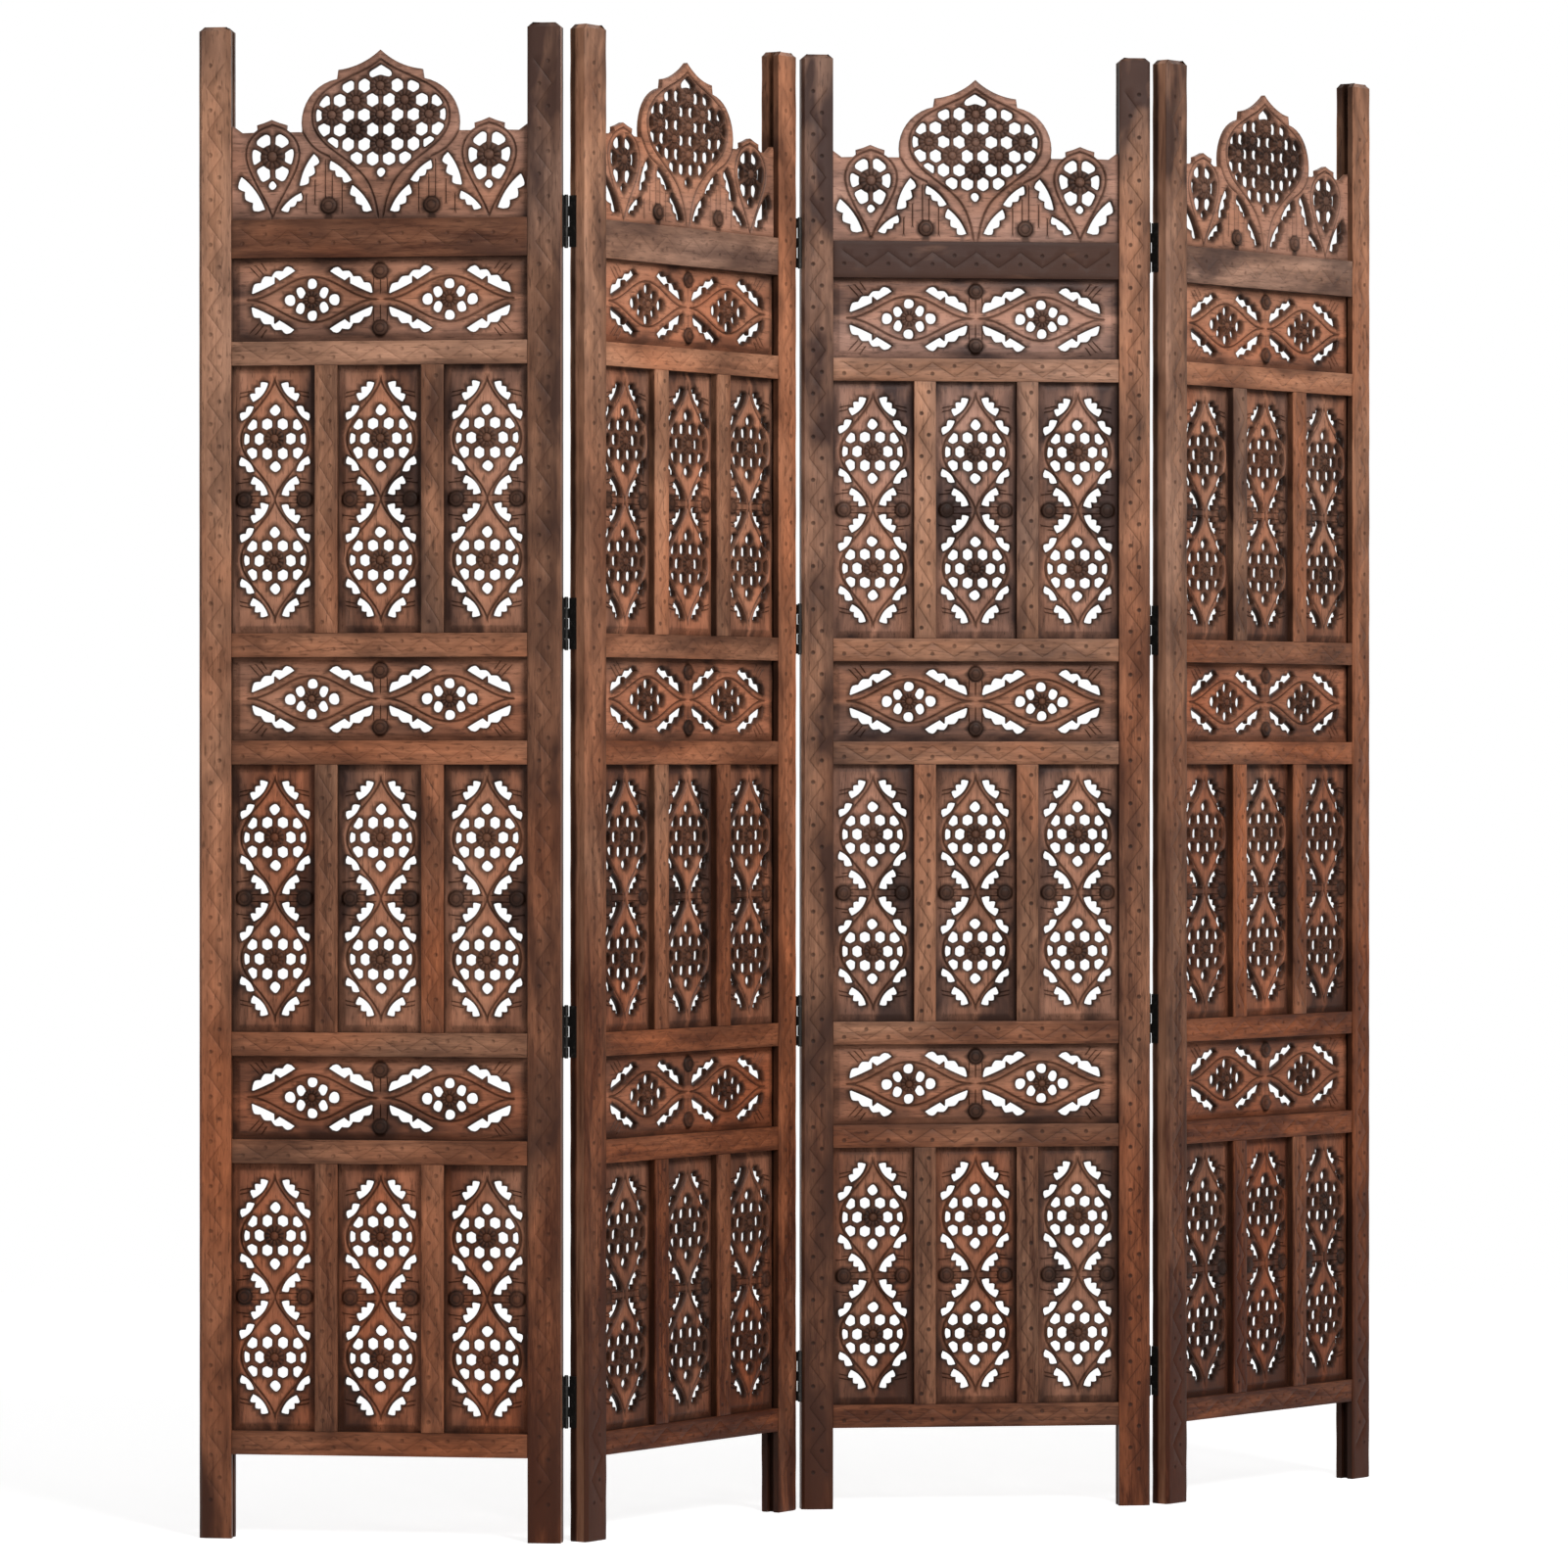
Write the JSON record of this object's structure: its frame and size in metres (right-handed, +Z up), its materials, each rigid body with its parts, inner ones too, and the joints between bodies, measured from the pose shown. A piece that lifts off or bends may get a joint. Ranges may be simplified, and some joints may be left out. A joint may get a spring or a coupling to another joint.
{
  "type": "folding room divider",
  "caption": "Free-standing folding screen of carved, pierced wooden leaves with domed crests, joined by iron butt hinges, to divide a room or screen a view.",
  "frame": {"origin": "on the floor, under the middle of the half-open screen", "axes": "+Z up; the carved front faces -Y; +X runs from the first leaf to the last"},
  "size_m": [1.3319, 0.7193, 1.65],
  "materials": {
    "frame_wood": "dark antique stain, waxed",
    "panel_wood": "reddish brown stain with darkened carving, waxed",
    "hinge_iron": "blackened iron"
  },
  "bodies": {
    "leaf_1": {"leaf_1_left_stile": "frame_wood", "leaf_1_right_stile": "frame_wood", "leaf_1_cross_rails": "frame_wood", "leaf_1_muntins": "frame_wood", "leaf_1_bands": "panel_wood", "leaf_1_bottom_rail": "frame_wood", "leaf_1_lower_tiles": "panel_wood", "leaf_1_middle_tiles": "panel_wood", "leaf_1_upper_tiles": "panel_wood", "leaf_1_top_rail": "frame_wood", "leaf_1_crest": "panel_wood", "hinge_1_outer_plates": "hinge_iron", "hinge_1_pins": "hinge_iron", "hinge_1_outer_screws": "hinge_iron"},
    "leaf_2": {"leaf_2_left_stile": "frame_wood", "leaf_2_right_stile": "frame_wood", "leaf_2_cross_rails": "frame_wood", "leaf_2_muntins": "frame_wood", "leaf_2_bands": "panel_wood", "leaf_2_bottom_rail": "frame_wood", "leaf_2_lower_tiles": "panel_wood", "leaf_2_middle_tiles": "panel_wood", "leaf_2_upper_tiles": "panel_wood", "leaf_2_top_rail": "frame_wood", "leaf_2_crest": "panel_wood", "hinge_1_inner_plates": "hinge_iron", "hinge_1_inner_screws": "hinge_iron", "hinge_2_outer_plates": "hinge_iron", "hinge_2_pins": "hinge_iron", "hinge_2_outer_screws": "hinge_iron"},
    "leaf_3": {"leaf_3_left_stile": "frame_wood", "leaf_3_right_stile": "frame_wood", "leaf_3_cross_rails": "frame_wood", "leaf_3_muntins": "frame_wood", "leaf_3_bands": "panel_wood", "leaf_3_bottom_rail": "frame_wood", "leaf_3_lower_tiles": "panel_wood", "leaf_3_middle_tiles": "panel_wood", "leaf_3_upper_tiles": "panel_wood", "leaf_3_top_rail": "frame_wood", "leaf_3_crest": "panel_wood", "hinge_2_inner_plates": "hinge_iron", "hinge_2_inner_screws": "hinge_iron", "hinge_3_outer_plates": "hinge_iron", "hinge_3_pins": "hinge_iron", "hinge_3_outer_screws": "hinge_iron"},
    "leaf_4": {"leaf_4_left_stile": "frame_wood", "leaf_4_right_stile": "frame_wood", "leaf_4_cross_rails": "frame_wood", "leaf_4_muntins": "frame_wood", "leaf_4_bands": "panel_wood", "leaf_4_bottom_rail": "frame_wood", "leaf_4_lower_tiles": "panel_wood", "leaf_4_middle_tiles": "panel_wood", "leaf_4_upper_tiles": "panel_wood", "leaf_4_top_rail": "frame_wood", "leaf_4_crest": "panel_wood", "hinge_3_inner_plates": "hinge_iron", "hinge_3_inner_screws": "hinge_iron"}
  },
  "joints": [
    {"name": "fold_1", "type": "hinge", "parent": "leaf_2", "child": "leaf_1", "pos_m": [-0.2651, -0.33562, 0], "axis": [0, 0, 1], "range_deg": [-117, 63]},
    {"name": "fold_2", "type": "hinge", "parent": "leaf_2", "child": "leaf_3", "pos_m": [-0.01068, -0.01935, 0], "axis": [0, 0, 1], "range_deg": [-131.5, 48.5]},
    {"name": "fold_3", "type": "hinge", "parent": "leaf_3", "child": "leaf_4", "pos_m": [0.38866, 0.05333, 0], "axis": [0, 0, 1], "range_deg": [-43.5, 136.5]}
  ]
}
